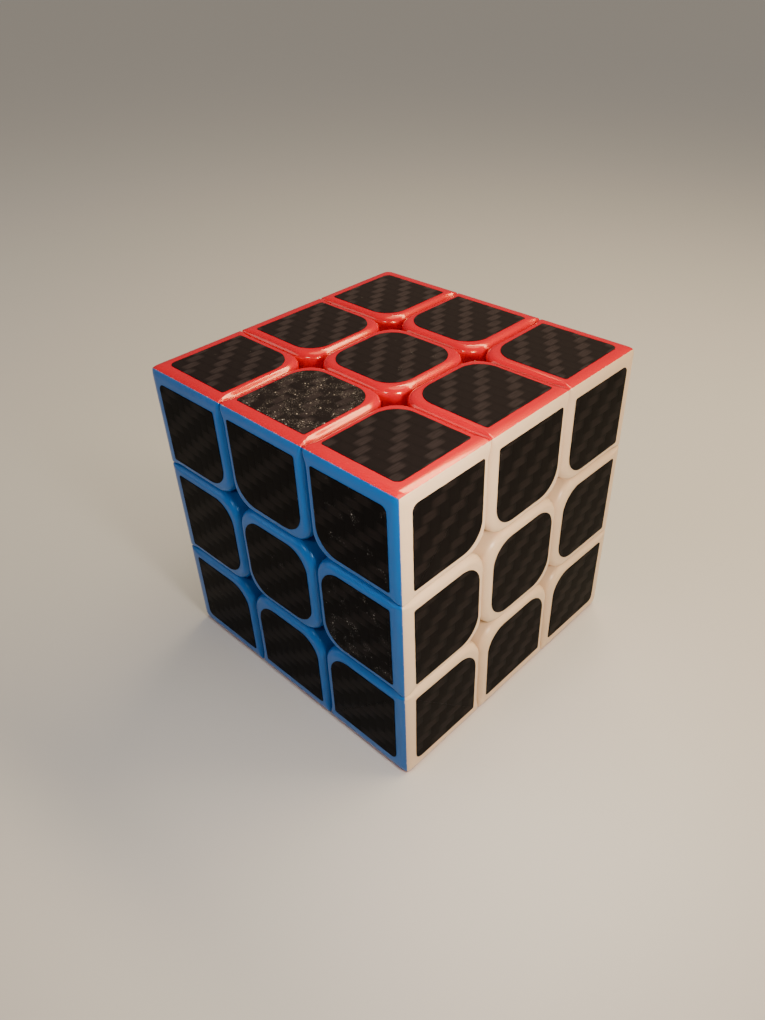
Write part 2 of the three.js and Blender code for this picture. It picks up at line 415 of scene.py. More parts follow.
# --- Shapes of the inner parts ---------------------------------------------------------------

# Points round a ring.
FINE_RING = 96
RING = 48
SMALL_RING = 32
WIRE_RING = 12


def circle(radius, height):
    """A round ring, as a function of the angle."""
    return lambda angle: (radius * math.cos(angle), radius * math.sin(angle), height)


def rounded_square(half, corner, height):
    """A square ring with round corners. height is a number, or a function of the radius."""

    def point(angle):
        c, s = abs(math.cos(angle)), abs(math.sin(angle))
        reach = half / max(c, s)
        inner = half - corner
        if min(c, s) * reach > inner:
            # The ray meets the quarter circle round (inner, inner).
            along = inner * (c + s)
            reach = along + math.sqrt(max(0.0, along**2 - 2 * inner**2 + corner**2))
        z = height(reach) if callable(height) else height
        return (reach * math.cos(angle), reach * math.sin(angle), z)

    return point


def cross(half_length, half_width, height):
    """A cross-shaped ring."""

    def point(angle):
        turn = (angle + math.pi / 4) % (math.pi / 2) - math.pi / 4
        reach = half_length / math.cos(turn)
        if abs(math.sin(turn)) > 1e-6:
            reach = min(reach, half_width / abs(math.sin(turn)))
        return (reach * math.cos(angle), reach * math.sin(angle), height)

    return point


def turned(rings, place, closed, points, into=None):
    """Joins rings, each a function of the angle. Closed ones join the last ring to the first,
    open ones get a flat cap on both ends."""
    bm = into or bmesh.new()
    made = [
        [bm.verts.new(place(ring(2 * math.pi * k / points))) for k in range(points)]
        for ring in rings
    ]
    pairs = list(zip(made, made[1:]))
    if closed:
        pairs.append((made[-1], made[0]))
    for lower, upper in pairs:
        for k in range(points):
            after = (k + 1) % points
            bm.faces.new((lower[k], lower[after], upper[after], upper[k]))
    if not closed:
        bm.faces.new(reversed(made[0]))
        bm.faces.new(made[-1])
    return bm


def reach_sphere(base, way, radius):
    """The point on base + t * way, t >= 0, at a distance from the middle of the cube."""
    along = base.dot(way)
    t = math.sqrt(along**2 + way.length_squared * (radius**2 - base.length_squared)) - along
    return base + way * (t / way.length_squared)


def reach_box(base, way, limit):
    """The point on base + t * way whose largest grown coordinate is at the limit."""
    t = min((limit - b) / w for b, w in zip(base, way) if w > 1e-9)
    return base + way * t


def block_between(cells, inner, outer, place, into=None):
    """A closed block between two surfaces over the same grid. cells lists the grid's faces as
    keys, counter-clockwise from outside; inner and outer turn a key into a point."""
    bm = into or bmesh.new()
    keys = sorted({key for cell in cells for key in cell})
    low = {key: bm.verts.new(place(inner(key))) for key in keys}
    top = {key: bm.verts.new(place(outer(key))) for key in keys}
    sides = {}
    for cell in cells:
        bm.faces.new([top[key] for key in cell])
        bm.faces.new([low[key] for key in reversed(cell)])
        for here, there in zip(cell, cell[1:] + cell[:1]):
            if (there, here) in sides:
                del sides[(there, here)]
            else:
                sides[(here, there)] = True
    for here, there in sides:
        bm.faces.new((top[here], low[here], low[there], top[there]))
    return bm


def triangle_cells(count):
    """A triangle cut into small ones. Keys are the shares (i, j); the third one is left out."""
    cells = []
    for i in range(count):
        for j in range(count - i):
            cells.append([(i, j), (i + 1, j), (i, j + 1)])
            if i + j < count - 1:
                cells.append([(i + 1, j), (i + 1, j + 1), (i, j + 1)])
    return cells


def square_cells(count_i, count_j):
    return [
        [(i, j), (i + 1, j), (i + 1, j + 1), (i, j + 1)]
        for i in range(count_i)
        for j in range(count_j)
    ]


FOOT_BEVEL = 0.3
BEVELLED_ANGLE = math.radians(40)


def soften(bm):
    """Rounds the sharp edges of a foot."""
    bmesh.ops.recalc_face_normals(bm, faces=bm.faces)
    bmesh.ops.bevel(
        bm,
        geom=[e for e in bm.edges if e.is_manifold and e.calc_face_angle(0.0) > BEVELLED_ANGLE],
        offset=FOOT_BEVEL * MM,
        segments=2,
        profile=0.5,
        affect="EDGES",
        clamp_overlap=True,
    )


# --- Stickers -------------------------------------------------------------------------------

STICKER_SEAM_MARGIN = 1.7  # from a seam plane to the sticker
STICKER_EDGE_MARGIN = 2.45  # from an outer edge of the cube to the sticker
STICKER_RADII = (1.1, 0.35, 4.2)  # corner radius by the number of seams that it lies between
STICKER_SHIFT = 0.14  # hand-placed: each one is a little off
STICKER_TURN = math.radians(0.5)
STICKER_RAG = 0.018  # unevenness of the cut
STICKER_BEVEL = 0.04
STICKER_POINT_SPACING = 0.5
WEAVE_PITCH = (1.93, 1.57)  # one strand's place, along and across the light strands

# Dust on single stickers, by face and cell. All the others carry a little.
DUST = {
    ("top", 0, -1): 0.75,
    ("top", 0, 0): 0.2,
    ("top", -1, -1): 0.15,
    ("front", 1, 1): 0.3,
    ("front", 1, 0): 0.45,
    ("front", 0, 0): 0.15,
}


def sticker_outline(i, j):
    """Points round a sticker, counter-clockwise, in the face's plane."""
    cell = Cell(i, j, 0)
    points = []
    for k in range(4):
        before, after = cell.sides[k - 1], cell.sides[k]
        margins = [
            STICKER_EDGE_MARGIN - STICKER_THICKNESS if s.outer else STICKER_SEAM_MARGIN - SEAM_GAP
            for s in (before, after)
        ]
        radius = STICKER_RADII[(not before.outer) + (not after.outer)]
        corner = cell.corner(k)
        corner -= before.outward() * margins[0] + after.outward() * margins[1]
        centre = corner - (before.outward() + after.outward()) * radius
        steps = max(4, round(radius * 3.5))
        for step in range(steps + 1):
            angle = math.pi / 2 * step / steps
            ray = before.outward() * math.cos(angle) + after.outward() * math.sin(angle)
            points.append(centre + ray * radius)
    return points


def evenly(points, spacing):
    """The same closed outline with long stretches divided."""
    result = []
    for here, there in zip(points, points[1:] + points[:1]):
        count = max(1, round((there - here).length / spacing))
        result += [here.lerp(there, step / count) for step in range(count)]
    return result


def moved_in(points, distance):
    """The closed outline moved inwards."""
    moved = []
    count = len(points)
    for k, point in enumerate(points):
        along = (points[(k + 1) % count] - points[k - 1]).normalized()
        moved.append(point + Vector((-along.y, along.x)) * distance)
    return moved


def sticker_mesh(name, face, i, j, rng):
    """A thin sheet, a little off its place, with the weave, dust, and a film of painted sheen and
    dust stored on it.
    """
    points = evenly(sticker_outline(i, j), STICKER_POINT_SPACING)
    middle = sum(points, Vector((0, 0))) / len(points)
    turn = Matrix.Rotation(rng.uniform(-STICKER_TURN, STICKER_TURN), 2)
    shift = Vector((rng.uniform(-1, 1), rng.uniform(-1, 1))) * STICKER_SHIFT
    rag = [rng.uniform(-STICKER_RAG, STICKER_RAG) for _ in points]
    ragged = []
    for k, point in enumerate(points):
        out = (point - middle).normalized()
        ragged.append(middle + turn @ (point + out * rag[k] - middle) + shift)
    top = FACE + STICKER_THICKNESS
    loops = [
        [Vector((p.x, p.y, top)) for p in moved_in(ragged, SUPPORT_INSET)],
        [Vector((p.x, p.y, top)) for p in moved_in(ragged, STICKER_BEVEL)],
        [Vector((p.x, p.y, top - STICKER_BEVEL)) for p in ragged],
        [Vector((p.x, p.y, FACE - 0.01)) for p in ragged],
    ]
    mesh = mesh_from_loops(name, loops, lambda p: on_face(face, p))
    # The weave, counted in strands: its light strands lie level on the sides, upright on the
    # top and bottom.
    normal, along_u, along_v = AXES[face]
    strand, across = (along_u, along_v) if normal.z == 0 else (along_v, -along_u)
    start = Vector((rng.uniform(0, 8), rng.uniform(0, 8)))
    layer = mesh.uv_layers.new(name="weave")
    for loop in mesh.loops:
        place = (mesh.vertices[loop.vertex_index].co - MIDDLE) / MM
        layer.data[loop.index].uv = (
            strand.dot(place) / WEAVE_PITCH[0] + start.x,
            across.dot(place) / WEAVE_PITCH[1] + start.y,
        )
    # Painted sheen: a light haze stands in for the sheen that the top stickers catch. It is full
    # on the top stickers, a tenth of that on the others, and brighter towards the back left. It
    # also stands for a thin film of dust.
    sheen_film_share = max(normal.z, 0.1)
    store(mesh, "dust", lambda place: DUST.get((face, i, j), 0.0))
    store(mesh, "sheen_and_dust_film", lambda place: sheen_film_share * (0.9 - 0.2 * (place.x - place.y) / HALF))
    return mesh


# --- Materials ------------------------------------------------------------------------------


class Shader:
    """A node material, with short calls for the nodes that it is made of."""

    def __init__(self, name):
        self.material = bpy.data.materials.new(name)
        self.material.use_nodes = True
        self.tree = self.material.node_tree
        self.surface = self.tree.nodes["Principled BSDF"]

    def node(self, kind, sockets=None, **settings):
        made = self.tree.nodes.new(kind)
        for key, value in settings.items():
            setattr(made, key, value)
        for key, value in (sockets or {}).items():
            self.feed(made.inputs[key], value)
        return made

    def feed(self, socket, value):
        """Links a socket to another node's output, or sets it to a plain value."""
        if isinstance(value, bpy.types.NodeSocket):
            self.tree.links.new(value, socket)
        else:
            socket.default_value = value

    def math(self, operation, *values):
        made = self.node("ShaderNodeMath", operation=operation)
        for socket, value in zip(made.inputs, values):
            self.feed(socket, value)
        return made.outputs[0]

    def mix(self, share, first, second):
        made = self.node("ShaderNodeMix", {"Factor": share}, data_type="RGBA")
        for socket, value in zip([s for s in made.inputs if s.type == "RGBA"], (first, second)):
            self.feed(socket, value if isinstance(value, bpy.types.NodeSocket) else (*value, 1.0))
        return made.outputs[2]

    def ramp(self, value, low, high):
        """0 at low, 1 at high, smooth between them."""
        sockets = {"Value": value, "From Min": low, "From Max": high}
        made = self.node("ShaderNodeMapRange", sockets, interpolation_type="SMOOTHSTEP")
        return made.outputs["Result"]

    def place_mm(self):
        """The point on the object, in millimetres."""
        place = self.node("ShaderNodeTexCoord").outputs["Object"]
        return self.stretch(place, (1 / MM, 1 / MM, 1 / MM))

    def stretch(self, vector, factors):
        made = self.node("ShaderNodeVectorMath", {0: vector, 1: factors}, operation="MULTIPLY")
        return made.outputs[0]

    def noise(self, vector, scale, detail=2.0, roughness=0.5):
        sockets = {"Vector": vector, "Scale": scale, "Detail": detail, "Roughness": roughness}
        return self.node("ShaderNodeTexNoise", sockets).outputs[0]

    def specks(self, vector, scale, size):
        """1 in small round spots, 0 elsewhere."""
        cells = self.node("ShaderNodeTexVoronoi", {"Vector": vector, "Scale": scale})
        return self.ramp(cells.outputs["Distance"], size, size * 0.6)

    def bump(self, height, strength, distance_mm, normal=None):
        sockets = {"Height": height, "Strength": strength, "Distance": distance_mm * MM}
        if normal is not None:
            sockets["Normal"] = normal
        return self.node("ShaderNodeBump", sockets).outputs[0]

    def set(self, **values):
        for name, value in values.items():
            self.feed(self.surface.inputs[name.replace("_", " ").title()], value)

    def constant(self, name, value):
        self.surface.inputs[name].default_value = value


# Whitish colour of the scuffs along the outer edges. It also paints in part of the thin highlight
# line along them.
SCUFF_AND_HIGHLIGHT = (0.62, 0.58, 0.55)


def plastic(name, colour, deep, gloss=0.3, glow=0.1, shine=0.38, sheen=(1.0, 1.0, 1.0), coat=0.0):
    """Glossy moulded plastic: faint flow marks, fine scratches, a little light inside, and
    whitish scuffs along the cube's outer edges, which also paint in part of the highlight line
    there.
    sheen tints its highlights, coat adds a clear gloss on top."""
    shader = Shader(name)
    place = shader.place_mm()
    flow = shader.noise(place, 0.16, 3.0, 0.6)
    fine = shader.noise(place, 9.0, 2.0, 0.6)
    scratch_a = shader.noise(shader.stretch(place, (9.0, 0.5, 0.5)), 1.4, 3.0, 0.7)
    scratch_b = shader.noise(shader.stretch(place, (0.5, 7.0, 9.0)), 1.2, 3.0, 0.7)
    scratch_a = shader.ramp(scratch_a, 0.66, 0.74)
    scratch_b = shader.ramp(scratch_b, 0.68, 0.76)
    scratches = shader.math("MAXIMUM", scratch_a, scratch_b)
    tone = shader.math("MULTIPLY", shader.ramp(flow, 0.3, 0.7), 0.35)
    # Painted highlight: the patches near the crest of each outer edge are partly real scuffs and
    # partly a painted highlight line along it. They are rougher as well.
    crest = shader.node("ShaderNodeAttribute", attribute_name="crest").outputs["Fac"]
    scuff_and_highlight_patches = shader.noise(place, 2.2, 4.0, 0.7)
    wear_and_highlight = shader.ramp(shader.math("MULTIPLY_ADD", crest, 0.30, scuff_and_highlight_patches), 0.84, 0.94)
    wear_and_highlight = shader.math("MULTIPLY", wear_and_highlight, 0.55)
    shader.set(base_color=shader.mix(wear_and_highlight, shader.mix(tone, colour, deep), SCUFF_AND_HIGHLIGHT))
    rough = shader.math("MULTIPLY_ADD", fine, 0.08, gloss - 0.04)
    rough = shader.math("MULTIPLY_ADD", scratches, 0.16, rough)
    shader.set(roughness=shader.math("MULTIPLY_ADD", wear_and_highlight, 0.4, rough))
    waves = shader.bump(shader.noise(place, 0.55, 1.0), 0.06, 0.02)
    grain = shader.bump(fine, 0.01, 0.006, waves)
    shader.set(normal=shader.bump(scratches, 0.04, -0.004, grain))
    shader.constant("IOR", 1.53)
    shader.constant("Specular IOR Level", shine)
    shader.constant("Specular Tint", (*sheen, 1.0))
    shader.constant("Coat Weight", coat)
    shader.constant("Coat Roughness", 0.07)
    shader.constant("Subsurface Weight", glow)
    shader.constant("Subsurface Scale", 0.8 * MM)
    shader.constant("Subsurface Radius", (1.0, 0.6, 0.4))
    return shader.material


DARK_THREAD = (0.0012, 0.0009, 0.0009)
LIGHT_THREAD = (0.0070, 0.0049, 0.0045)
# Colour of the painted sheen, which also stands for a film of dust.
SHEEN_AND_DUST_HAZE = (0.42, 0.345, 0.39)
DUST_GREY = (0.46, 0.43, 0.40)
FIBRES = (0.9, 7.0)  # streaks to one strand's place, along and across the strand


def sticker_material():
    """Dark sheet printed and embossed with a twill weave, under a thin hazy film with dust. The
    film is painted sheen, strongest on the top stickers, and also a film of dust.
    """
    shader = Shader("carbon_sticker")
    weave = shader.node("ShaderNodeUVMap", uv_map="weave")
    split = shader.node("ShaderNodeSeparateXYZ", {0: weave.outputs[0]})
    along, across = split.outputs[0], split.outputs[1]
    row, column = shader.math("FLOOR", across), shader.math("FLOOR", along)

    # Each strand lies over two others and dives under two, one place further on in each row.
    light_phase = shader.math("FLOORED_MODULO", shader.math("SUBTRACT", along, row), 4.0)
    dark_phase = shader.math("SUBTRACT", shader.math("ADD", across, 3.0), column)
    dark_phase = shader.math("FLOORED_MODULO", dark_phase, 4.0)
    light = shader.math("LESS_THAN", light_phase, 2.0)

    def strand_height(phase, side):
        lift = shader.math("SINE", shader.math("MULTIPLY", phase, math.pi / 2))
        lift = shader.math("MULTIPLY_ADD", shader.math("MAXIMUM", lift, 0.0), 0.45, 0.55)
        hump = shader.math("SINE", shader.math("MULTIPLY", shader.math("FRACT", side), math.pi))
        return shader.math("MULTIPLY", lift, shader.math("POWER", hump, 0.45))

    def choose(first, second):
        made = shader.node("ShaderNodeMix", data_type="FLOAT")
        for socket, value in zip(made.inputs[:1] + made.inputs[2:4], (light, second, first)):
            shader.feed(socket, value)
        return made.outputs[0]

    height = choose(strand_height(light_phase, across), strand_height(dark_phase, along))
    streaks = [
        shader.noise(shader.stretch(weave.outputs[0], (*way, 1.0)), 1.0, 2.0, 0.6)
        for way in (FIBRES, FIBRES[::-1])
    ]
    fibre = choose(*streaks)
    ends = shader.math("MINIMUM", light_phase, shader.math("SUBTRACT", 2.0, light_phase))
    ends = shader.ramp(ends, 0.0, 0.6)
    streaked = shader.math("MULTIPLY_ADD", fibre, 2.4, -0.2)
    tone = shader.math("MULTIPLY", choose(ends, 0.12), streaked)
    tone = shader.math("MULTIPLY", tone, shader.ramp(height, 0.0, 0.75))
    woven = shader.mix(tone, DARK_THREAD, LIGHT_THREAD)

    place = shader.place_mm()
    dust = shader.node("ShaderNodeAttribute", attribute_name="dust").outputs["Fac"]
    patches = shader.noise(place, 0.55, 3.0, 0.6)
    cover = shader.ramp(shader.math("MULTIPLY_ADD", dust, 0.34, patches), 0.68, 0.86)
    dirt = 0.0
    for marks, share in (
        (shader.specks(place, 1.1, 0.16), 0.9),
        (shader.specks(place, 2.6, 0.24), 0.45),
        (shader.ramp(shader.noise(place, 4.5, 3.0, 0.7), 0.5, 0.68), 0.2),
    ):
        marks = shader.math("MULTIPLY", shader.math("MULTIPLY", marks, cover), share)
        dirt = shader.math("MAXIMUM", dirt, marks)
    # Painted sheen: the haze is stronger on the light strands, as the sheen off them would be.
    sheen_and_dust_film = shader.node("ShaderNodeAttribute", attribute_name="sheen_and_dust_film").outputs["Fac"]
    sheen_and_dust_film = shader.math("MULTIPLY", sheen_and_dust_film, shader.math("MULTIPLY_ADD", tone, 0.034, 0.031))
    with_sheen_film = shader.mix(sheen_and_dust_film, woven, SHEEN_AND_DUST_HAZE)
    shader.set(base_color=shader.mix(dirt, with_sheen_film, DUST_GREY))
    smear = shader.noise(place, 0.22, 4.0, 0.6)
    sheen = shader.math("MULTIPLY_ADD", smear, 0.12, 0.40)
    sheen = shader.math("MULTIPLY_ADD", choose(0.0, 1.0), 0.08, sheen)
    shader.set(roughness=shader.math("MULTIPLY_ADD", dirt, 0.3, sheen))
    relief = shader.bump(height, 0.45, 0.03)
    relief = shader.bump(fibre, 0.15, 0.008, relief)
    shader.set(normal=shader.bump(dirt, 0.5, 0.02, relief))
    shader.constant("Specular IOR Level", 0.035)
    return shader.material


PLASTICS = {
    "top": plastic(
        "red_plastic",
        (0.63, 0.0016, 0.019),
        (0.57, 0.0008, 0.015),
        gloss=0.22,
        shine=1.0,
        sheen=(1.0, 0.34, 0.10),
        coat=0.6,
    ),
    "bottom": plastic(
        "orange_plastic", (0.95, 0.19, 0.012), (0.80, 0.13, 0.008), sheen=(1.0, 0.7, 0.4)
    ),
    "front": plastic(
        "blue_plastic", (0.005, 0.112, 0.40), (0.004, 0.09, 0.33), sheen=(0.45, 0.75, 1.0)
    ),
    "back": plastic(
        "green_plastic", (0.010, 0.30, 0.055), (0.006, 0.22, 0.04), sheen=(0.6, 1.0, 0.7)
    ),
    "right": plastic("white_plastic", (0.69, 0.52, 0.35), (0.62, 0.45, 0.29), glow=0.12),
    "left": plastic(
        "yellow_plastic", (0.90, 0.62, 0.02), (0.82, 0.53, 0.015), sheen=(1.0, 0.9, 0.5)
    ),
}
INNER = plastic(
    "inner_plastic", (0.028, 0.028, 0.032), (0.018, 0.018, 0.02), gloss=0.42, glow=0.0
)
CORE = plastic("core_plastic", (0.62, 0.59, 0.52), (0.52, 0.48, 0.42), gloss=0.45)
STICKER = sticker_material()


def steel(name, colour, gloss):
    """Bright steel with fine turning marks and faint stains."""
    shader = Shader(name)
    place = shader.place_mm()
    marks = shader.noise(place, 14.0, 2.0, 0.6)
    stains = shader.ramp(shader.noise(place, 0.9, 4.0, 0.6), 0.45, 0.75)
    dull = [value * 0.72 for value in colour]
    shader.set(base_color=shader.mix(stains, colour, dull))
    rough = shader.math("MULTIPLY_ADD", marks, 0.15, gloss - 0.07)
    shader.set(roughness=shader.math("MULTIPLY_ADD", stains, 0.12, rough))
    shader.set(normal=shader.bump(marks, 0.15, 0.006))
    shader.constant("Metallic", 1.0)
    return shader.material


STEEL = steel("zinc_steel", (0.60, 0.60, 0.61), 0.30)
SPRING_STEEL = steel("spring_steel", (0.50, 0.51, 0.53), 0.24)


# --- The pieces -----------------------------------------------------------------------------


def faces_at(place):
    """Names of the faces that a piece of the puzzle shows, such as ["top", "front", "left"]."""
    names = []
    for axis, low, high in ((2, "bottom", "top"), (1, "front", "back"), (0, "left", "right")):
        if place[axis] > 0.5:
            names.append(high)
        elif place[axis] < -0.5:
            names.append(low)
    return names


# Width of the band of scuffs and painted highlight along each outer edge.
SCUFF_AND_HIGHLIGHT_WIDTH = 0.5


def crest_share(place):
    """1 on the crest of an outer edge of the cube, 0 at the width of the scuffs and painted
    highlight away from it.
    """
    second = sorted(abs(value) for value in place)[1]
    return max(0.0, 1 - (FACE - CREST - second) / SCUFF_AND_HIGHLIGHT_WIDTH)


def make_cell(face, i, j):
    """The coloured shell and the sticker in one of a face's nine places."""
    normal, along_u, along_v = AXES[face]
    names = faces_at(normal + along_u * i + along_v * j)
    kind = ("centre", "edge", "corner")[len(names) - 1]
    piece_name = f"{kind}_{'_'.join(names)}"
    node = piece_name if kind == "edge" else f"{piece_name}_cap"
    body = BODY_OF[node]
    shell_name = f"{piece_name}_shell_{face}"
    loops = shell_loops(Cell(i, j, SHELL_DEPTHS[kind]))
    mesh = mesh_from_loops(shell_name, loops, lambda p: on_face(face, p))
    store(mesh, "crest", crest_share)
    shell = add_piece(shell_name, mesh, PLASTICS[face], body)
    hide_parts(node)
    sticker_name = f"{piece_name}_sticker_{face}"
    mesh = sticker_mesh(sticker_name, face, i, j, random.Random(f"{face}{i}{j}"))
    add_piece(sticker_name, mesh, STICKER, body)


SHELL_OUT = 20  # the feet slide between two spheres of these radii
SHELL_IN = 13
FOOT_SEAM = 5.5  # distance of the planes that part the feet
FOOT_GAP = 0.15
FOOT_START = FOOT_SEAM + FOOT_GAP
FOOT_HALF = FOOT_SEAM - FOOT_GAP
STALK_RADIUS = 1.8
STALK_ENDS = (16.5, 24.0)
SHELL_CLEARANCE = 0.03  # between a shell and the block under it
GRID = 12


def in_octant(signs):
    """Places a point given for the +X +Y +Z octant, in the octant with these signs."""
    return lambda point: MIDDLE + Vector(a * b for a, b in zip(point, signs)) * MM


def add_inner(name, bm, material, node):
    """Adds a piece that stands for a CAD node, or for a part of it."""
    bmesh.ops.recalc_face_normals(bm, faces=bm.faces)
    piece = add_piece(name, finished_mesh(name, bm), material, BODY_OF[node])
    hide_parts(node)
    return piece


def signs_of(names):
    """The direction from the middle of the cube to a piece, as three signs."""
    signs = [0, 0, 0]
    for name in names:
        normal = AXES[name][0]
        for axis in range(3):
            signs[axis] += normal[axis]
    return signs


def octant_block(start, inner_radius, outer, place, into=None):
    """A block over the part of a sphere where all three coordinates pass a start."""
    base = Vector((start, start, start))

    def way(key):
        i, j = key
        return Vector((i, j, GRID - i - j)) / GRID

    return block_between(
        triangle_cells(GRID),
        lambda key: reach_sphere(base, way(key), inner_radius),
        lambda key: outer(base, way(key)),
        place,
        into,
    )


def make_corner_inside(names):
    """The block under a corner's three shells, and the foot on its stalk."""
    place = in_octant(signs_of(names))
    name = f"corner_{'_'.join(names)}"
    bottom = FACE - SHELL_DEPTHS["corner"] - SHELL_CLEARANCE
    block = octant_block(
        SEAM + FOOT_GAP,
        SHELL_OUT + FOOT_GAP,
        lambda base, way: reach_box(base, way, bottom),
        place,
    )
    add_inner(f"{name}_block", block, INNER, f"{name}_cap")

    foot = octant_block(
        FOOT_START,
        SHELL_IN + FOOT_GAP,
        lambda base, way: reach_sphere(base, way, SHELL_OUT - FOOT_GAP),
        place,
    )
    soften(foot)
    lean = Vector((0, 0, 1)).rotation_difference(Vector((1, 1, 1)))
    stalk = [circle(STALK_RADIUS, height) for height in STALK_ENDS]
    turned(stalk, lambda p: place(lean @ Vector(p)), False, SMALL_RING, foot)
    add_inner(f"{name}_foot_piece", foot, INNER, f"{name}_foot")


def make_edge_inside(names):
    """The block, the neck and the foot under an edge's two shells."""
    signs = signs_of(names)
    free = signs.index(0)
    first, second = (axis for axis in range(3) if axis != free)
    signs[free] = 1
    place = in_octant(signs)

    def block(start, half, inner_radius, outer, into=None):
        def base_way(key):
            base, way = Vector((start, start, start)), Vector((0, 0, 0))
            base[free] = half * (2 * key[1] / GRID - 1)
            way[first] = key[0] / GRID
            way[second] = 1 - key[0] / GRID
            return base, way

        return block_between(
            square_cells(GRID, GRID),
            lambda key: reach_sphere(*base_way(key), inner_radius),
            lambda key: outer(*base_way(key)),
            place,
            into,
        )

    bm = block(
        FOOT_START,
        FOOT_HALF,
        SHELL_IN + FOOT_GAP,
        lambda base, way: reach_sphere(base, way, SHELL_OUT - FOOT_GAP),
    )
    soften(bm)
    bottom = FACE - SHELL_DEPTHS["edge"] - SHELL_CLEARANCE
    block(
        SEAM + FOOT_GAP,
        SEAM - FOOT_GAP,
        SHELL_OUT + FOOT_GAP,
        lambda base, way: reach_box(base, way, bottom),
        bm,
    )
    block(
        SEAM + FOOT_GAP,
        FOOT_HALF,
        SHELL_OUT - 2 * FOOT_GAP,
        lambda base, way: reach_sphere(base, way, SHELL_OUT + 2 * FOOT_GAP),
        bm,
    )
    name = f"edge_{'_'.join(names)}"
    add_inner(f"{name}_foot_piece", bm, INNER, name)


# Heights over the middle of the cube and radii of the parts of a centre.
BASE_TOP = 24.7
BASE_HALF = SEAM - 0.12
BORE = 2.75
BORE_FLOOR = 15.5
SHANK_HOLE = 1.9
PLUG = 2.45
PLUG_BOTTOM = 23.5
PLUG_TOP = FACE - 2.0
WASHER_BOTTOM = 20.5
WASHER_TOP = 21.0
WASHER_IN = 1.75
WASHER_OUT = 2.45
WASHER_BEVEL = 0.06
HEAD_BOTTOM = 21.3
HEAD_TOP = 23.1
HEAD = 2.4
SPRING_BOTTOM = 15.8
SPRING_TOP = 20.2
COIL = 2.05
COIL_TURNS = 4
WIRE = 0.3


def make_centre_inside(face):
    """The base, the plug under the cap, the screw, the washer and the spring of one centre."""

    def place(point):
        return on_face(face, point)

    def on_sphere(radius):
        return lambda reach: math.sqrt(radius**2 - min(reach, radius - 1) ** 2)

    plastic_of_face = PLASTICS[face]
    inside, outside = on_sphere(SHELL_IN + FOOT_GAP), on_sphere(SHELL_OUT + FOOT_GAP)
    corner = PLAN_RADIUS
    base = [
        circle(SHANK_HOLE, inside(SHANK_HOLE)),
        rounded_square(3.6, 0.6, inside),
        rounded_square(FOOT_HALF - 0.3, 0.4, inside),
        rounded_square(FOOT_HALF, 0.5, lambda reach: inside(reach) + 0.3),
        rounded_square(FOOT_HALF, 0.5, lambda reach: outside(reach) - 0.3),
        rounded_square(FOOT_HALF + 0.3, 0.8, outside),
        rounded_square(7.2, 2.6, outside),
        rounded_square(BASE_HALF, corner, outside),
        rounded_square(BASE_HALF, corner, BASE_TOP - 1.1),
        rounded_square(BASE_HALF - 0.25, corner - 0.2, BASE_TOP - 0.3),
        rounded_square(BASE_HALF - 0.8, corner - 0.5, BASE_TOP),
        circle(BORE + 1.6, BASE_TOP),
        circle(BORE + 0.2, BASE_TOP),
        circle(BORE, BASE_TOP - 0.2),
        circle(BORE, BORE_FLOOR + 0.2),
        circle(BORE - 0.2, BORE_FLOOR),
        circle(SHANK_HOLE, BORE_FLOOR),
    ]
    name = f"centre_{face}"
    bm = turned(base, place, True, FINE_RING)
    add_inner(f"{name}_base_piece", bm, plastic_of_face, f"{name}_base")

    plug = [
        circle(PLUG - 0.3, PLUG_BOTTOM),
        circle(PLUG, PLUG_BOTTOM + 0.3),
        circle(PLUG, PLUG_TOP),
    ]
    bm = turned(plug, place, False, RING)
    add_inner(f"{name}_plug", bm, plastic_of_face, f"{name}_cap")

    washer = [
        circle(WASHER_IN, WASHER_BOTTOM + WASHER_BEVEL),
        circle(WASHER_IN + WASHER_BEVEL, WASHER_BOTTOM),
        circle(WASHER_OUT - WASHER_BEVEL, WASHER_BOTTOM),
        circle(WASHER_OUT, WASHER_BOTTOM + WASHER_BEVEL),
        circle(WASHER_OUT, WASHER_TOP - WASHER_BEVEL),
        circle(WASHER_OUT - WASHER_BEVEL, WASHER_TOP),
        circle(WASHER_IN + WASHER_BEVEL, WASHER_TOP),
        circle(WASHER_IN, WASHER_TOP - WASHER_BEVEL),
    ]
    bm = turned(washer, place, True, RING)
    add_inner(f"washer_{face}_piece", bm, STEEL, f"washer_{face}")

    head = [
        circle(HEAD / 2, HEAD_BOTTOM),
        circle(HEAD - 0.1, HEAD_BOTTOM),
        circle(HEAD, HEAD_BOTTOM + 0.1),
        circle(HEAD, HEAD_TOP - 0.55),
        circle(HEAD - 0.12, HEAD_TOP - 0.22),
        circle(HEAD - 0.4, HEAD_TOP - 0.05),
        circle(HEAD - 0.65, HEAD_TOP),
        cross(1.6, 0.35, HEAD_TOP),
        cross(1.5, 0.3, HEAD_TOP - 0.08),
        cross(1.35, 0.24, HEAD_TOP - 1.05),
    ]
    bm = turned(head, place, False, FINE_RING)
    turned(thread_rings(), place, False, SMALL_RING, bm)
    add_inner(f"screw_{face}_piece", bm, STEEL, f"screw_{face}")

    bm = turned(coil_rings(), place, False, WIRE_RING)
    spring = add_inner(f"spring_{face}_piece", bm, SPRING_STEEL, f"spring_{face}")
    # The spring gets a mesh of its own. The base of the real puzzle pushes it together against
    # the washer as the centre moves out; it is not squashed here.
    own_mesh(spring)


SHANK = 1.4
SHANK_TIP = 1.15
SHANK_TOP = 21.35
THREAD_BOTTOM = 5.2
THREAD_TOP = 15.0
THREAD_PITCH = 0.6
THREAD_DEPTH = 0.24
THREAD_STEPS = 6  # rings to a pitch


